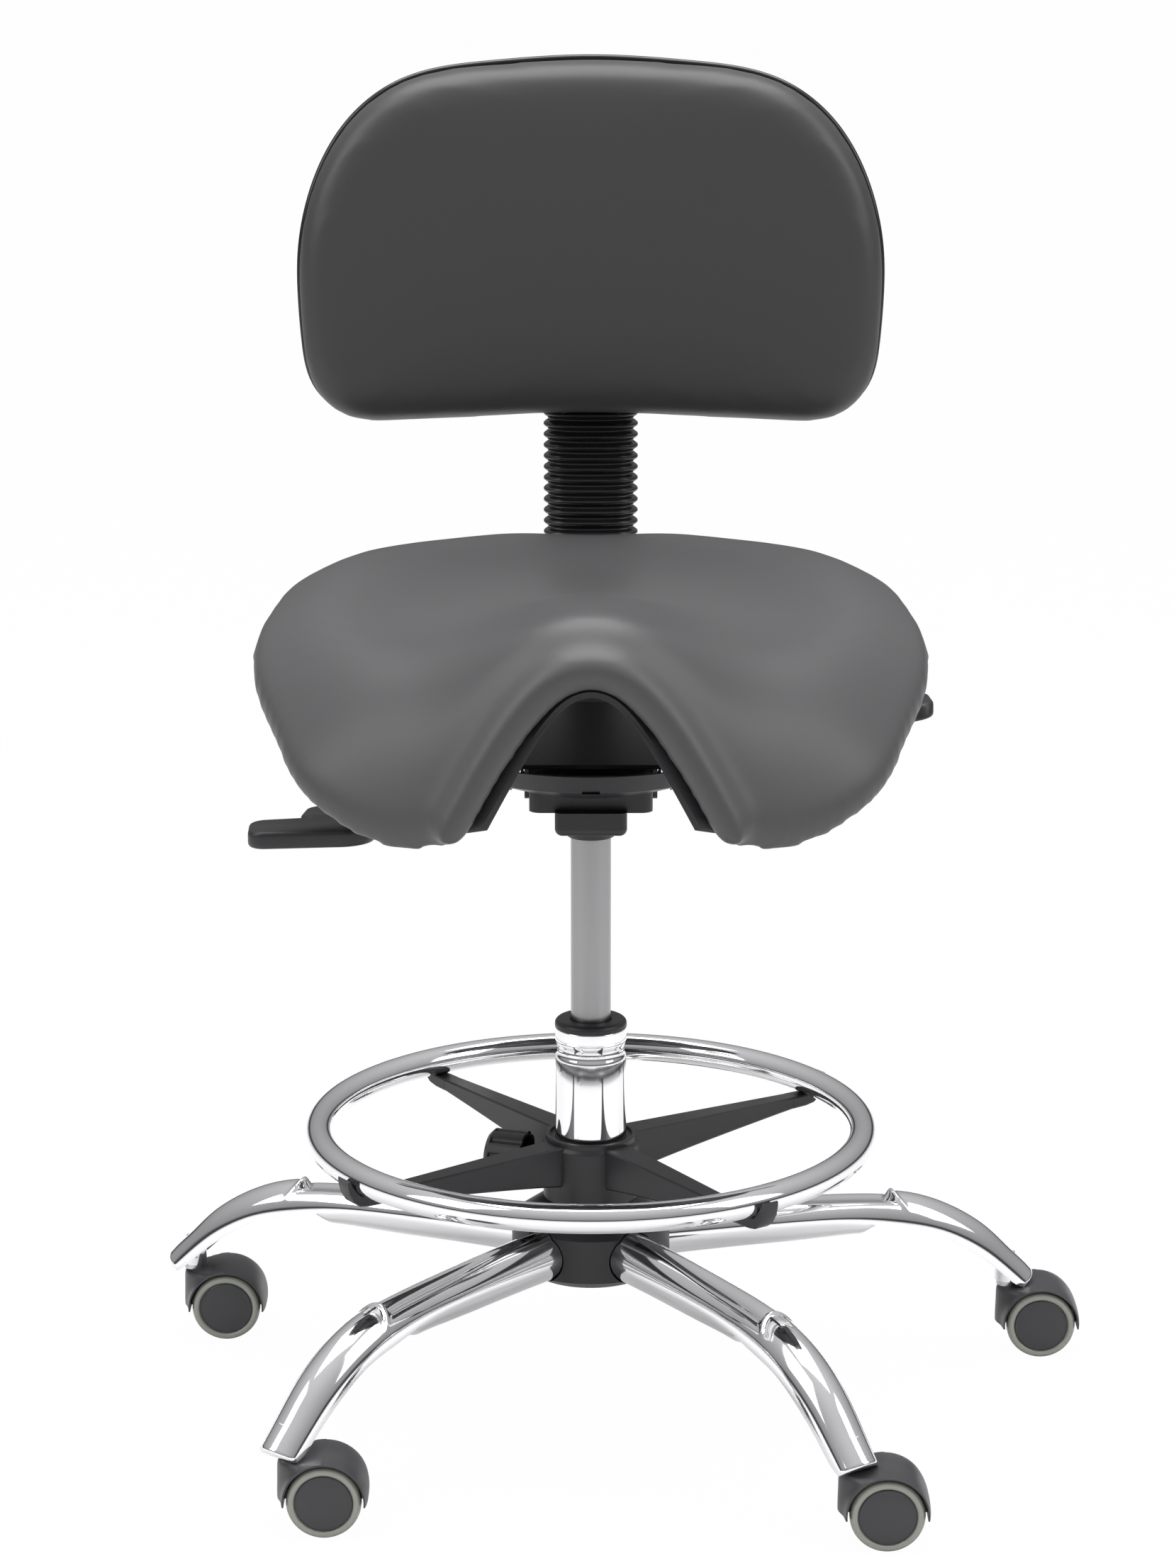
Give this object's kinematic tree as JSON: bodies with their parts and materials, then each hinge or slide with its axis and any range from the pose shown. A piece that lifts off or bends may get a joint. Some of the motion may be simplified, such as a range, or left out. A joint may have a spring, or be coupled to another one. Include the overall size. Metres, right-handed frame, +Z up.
{
  "type": "saddle stool with backrest",
  "caption": "Saddle stool with a small backrest on a bellows-covered bar, gas lift, adjustable foot ring and a chrome base on hooded twin-wheel castors.",
  "frame": {"origin": "on the floor, on the axis of the column", "axes": "+Z up, the sitter faces -Y, +X to the sitter's left"},
  "size_m": [0.6708, 0.6257, 0.9325],
  "materials": {
    "black_plastic": "satin",
    "dark_plastic": "satin",
    "chrome": "polished",
    "zinc_steel": "zinc plated",
    "grey_tread": "smooth",
    "grey_paint": "satin",
    "black_paint": "satin",
    "seat_leather": "smooth",
    "back_leather": "fine grain",
    "black_rubber": "gloss"
  },
  "bodies": {
    "base": {"base_hub": "black_plastic", "base_leg_1": "chrome", "base_leg_2": "chrome", "base_leg_3": "chrome", "base_leg_4": "chrome", "base_leg_5": "chrome", "castor_sockets": "chrome", "castor_stems": "zinc_steel", "column_tube": "chrome", "guide_bush": "black_plastic", "thrust_bearing": "zinc_steel"},
    "castor_1": {"castor_1_hood": "dark_plastic", "castor_1_axle": "zinc_steel"},
    "castor_1_front_wheel": {"castor_1_wheel_front": "grey_tread"},
    "castor_1_rear_wheel": {"castor_1_wheel_rear": "grey_tread"},
    "castor_2": {"castor_2_hood": "dark_plastic", "castor_2_axle": "zinc_steel"},
    "castor_2_front_wheel": {"castor_2_wheel_front": "grey_tread"},
    "castor_2_rear_wheel": {"castor_2_wheel_rear": "grey_tread"},
    "castor_3": {"castor_3_hood": "dark_plastic", "castor_3_axle": "zinc_steel"},
    "castor_3_front_wheel": {"castor_3_wheel_front": "grey_tread"},
    "castor_3_rear_wheel": {"castor_3_wheel_rear": "grey_tread"},
    "castor_4": {"castor_4_hood": "dark_plastic", "castor_4_axle": "zinc_steel"},
    "castor_4_front_wheel": {"castor_4_wheel_front": "grey_tread"},
    "castor_4_rear_wheel": {"castor_4_wheel_rear": "grey_tread"},
    "castor_5": {"castor_5_hood": "dark_plastic", "castor_5_axle": "zinc_steel"},
    "castor_5_front_wheel": {"castor_5_wheel_front": "grey_tread"},
    "castor_5_rear_wheel": {"castor_5_wheel_rear": "grey_tread"},
    "lift_rod": {"piston_rod": "zinc_steel", "rod_clip": "zinc_steel"},
    "gas_lift": {"gas_cylinder": "grey_paint", "mechanism_housing": "black_paint", "tilt_pin": "zinc_steel", "back_pin": "zinc_steel"},
    "valve": {"valve_pin": "zinc_steel"},
    "height_lever": {"height_lever_rod": "zinc_steel", "height_lever_grip": "black_plastic"},
    "tilt_lever": {"tilt_lever_rod": "zinc_steel", "tilt_lever_grip": "black_plastic"},
    "back_lever": {"back_lever_rod": "zinc_steel", "back_lever_grip": "black_plastic"},
    "seat": {"seat_plate": "black_paint", "mechanism_cover": "black_plastic", "seat_shell": "black_plastic", "seat_cushion": "seat_leather", "seat_screws": "zinc_steel"},
    "back_arm": {"back_bar": "black_paint", "back_bellows": "black_rubber"},
    "backrest": {"back_guide": "black_plastic", "back_shell": "black_plastic", "back_cushion": "back_leather", "back_piping": "black_rubber", "back_screws": "zinc_steel"},
    "foot_rest": {"foot_ring": "chrome", "foot_ring_spider": "black_plastic"},
    "ring_clamp": {"foot_ring_knob": "black_plastic", "clamp_screw": "zinc_steel"}
  },
  "joints": [
    {"name": "castor_1_swivel", "type": "hinge", "parent": "base", "child": "castor_1", "pos_m": [0.01868, 0.31445, 0.04], "axis": [0, 0, 1], "continuous": true},
    {"name": "castor_1_front_roll", "type": "hinge", "parent": "castor_1", "child": "castor_1_front_wheel", "pos_m": [0.04268, 0.31445, 0.025], "axis": [0, 1, 0], "continuous": true},
    {"name": "castor_1_rear_roll", "type": "hinge", "parent": "castor_1", "child": "castor_1_rear_wheel", "pos_m": [0.04268, 0.31445, 0.025], "axis": [0, 1, 0], "continuous": true},
    {"name": "castor_2_swivel", "type": "hinge", "parent": "base", "child": "castor_2", "pos_m": [-0.29328, 0.11494, 0.04], "axis": [0, 0, 1], "continuous": true},
    {"name": "castor_2_front_roll", "type": "hinge", "parent": "castor_2", "child": "castor_2_front_wheel", "pos_m": [-0.26928, 0.11494, 0.025], "axis": [0, 1, 0], "continuous": true},
    {"name": "castor_2_rear_roll", "type": "hinge", "parent": "castor_2", "child": "castor_2_rear_wheel", "pos_m": [-0.26928, 0.11494, 0.025], "axis": [0, 1, 0], "continuous": true},
    {"name": "castor_3_swivel", "type": "hinge", "parent": "base", "child": "castor_3", "pos_m": [-0.19994, -0.24341, 0.04], "axis": [0, 0, 1], "continuous": true},
    {"name": "castor_3_front_roll", "type": "hinge", "parent": "castor_3", "child": "castor_3_front_wheel", "pos_m": [-0.17594, -0.24341, 0.025], "axis": [0, 1, 0], "continuous": true},
    {"name": "castor_3_rear_roll", "type": "hinge", "parent": "castor_3", "child": "castor_3_rear_wheel", "pos_m": [-0.17594, -0.24341, 0.025], "axis": [0, 1, 0], "continuous": true},
    {"name": "castor_4_swivel", "type": "hinge", "parent": "base", "child": "castor_4", "pos_m": [0.16971, -0.26537, 0.04], "axis": [0, 0, 1], "continuous": true},
    {"name": "castor_4_front_roll", "type": "hinge", "parent": "castor_4", "child": "castor_4_front_wheel", "pos_m": [0.19371, -0.26537, 0.025], "axis": [0, 1, 0], "continuous": true},
    {"name": "castor_4_rear_roll", "type": "hinge", "parent": "castor_4", "child": "castor_4_rear_wheel", "pos_m": [0.19371, -0.26537, 0.025], "axis": [0, 1, 0], "continuous": true},
    {"name": "castor_5_swivel", "type": "hinge", "parent": "base", "child": "castor_5", "pos_m": [0.30483, 0.0794, 0.04], "axis": [0, 0, 1], "continuous": true},
    {"name": "castor_5_front_roll", "type": "hinge", "parent": "castor_5", "child": "castor_5_front_wheel", "pos_m": [0.32883, 0.0794, 0.025], "axis": [0, 1, 0], "continuous": true},
    {"name": "castor_5_rear_roll", "type": "hinge", "parent": "castor_5", "child": "castor_5_rear_wheel", "pos_m": [0.32883, 0.0794, 0.025], "axis": [0, 1, 0], "continuous": true},
    {"name": "column_swivel", "type": "hinge", "parent": "base", "child": "lift_rod", "pos_m": [0, 0, 0.2], "axis": [0, 0, 1], "continuous": true},
    {"name": "height_slide", "type": "slide", "parent": "lift_rod", "child": "gas_lift", "axis": [0, 0, 1], "range_m": [-0.12, 0.02]},
    {"name": "valve_press", "type": "slide", "parent": "gas_lift", "child": "valve", "axis": [0, 0, -1], "range_m": [0, 0.004]},
    {"name": "height_lever_pull", "type": "hinge", "parent": "gas_lift", "child": "height_lever", "pos_m": [-0.034, 0, 0.452], "axis": [0, 1, 0], "range_deg": [0, 6], "stiffness_Nm_per_rad": 1.5, "springref_deg": -6.88},
    {"name": "tilt_lever_pull", "type": "hinge", "parent": "gas_lift", "child": "tilt_lever", "pos_m": [-0.034, 0.046, 0.452], "axis": [0, 1, 0], "range_deg": [0, 6]},
    {"name": "back_lever_pull", "type": "hinge", "parent": "gas_lift", "child": "back_lever", "pos_m": [0.034, 0.046, 0.452], "axis": [0, -1, 0], "range_deg": [0, 6]},
    {"name": "seat_tilt", "type": "hinge", "parent": "gas_lift", "child": "seat", "pos_m": [0, -0.04, 0.461], "axis": [1, 0, 0], "range_deg": [-2, 6]},
    {"name": "back_recline", "type": "hinge", "parent": "gas_lift", "child": "back_arm", "pos_m": [0, 0.084, 0.456], "axis": [-1, 0, 0], "range_deg": [0, 20]},
    {"name": "back_height", "type": "slide", "parent": "back_arm", "child": "backrest", "axis": [0, 0, 1], "range_m": [-0.025, 0.04], "deforming": ["back_bellows"]},
    {"name": "foot_ring_slide", "type": "slide", "parent": "base", "child": "foot_rest", "axis": [0, 0, 1], "range_m": [0, 0.055]},
    {"name": "clamp_turn", "type": "hinge", "parent": "foot_rest", "child": "ring_clamp", "pos_m": [-0.05706, 0.01854, 0.168], "axis": [-0.9511, 0.309, 0], "range_deg": [0, 180]}
  ],
  "couplings": [
    {"joint": "valve_press", "follows": "height_lever_pull", "m_per_rad": 0.036}
  ]
}
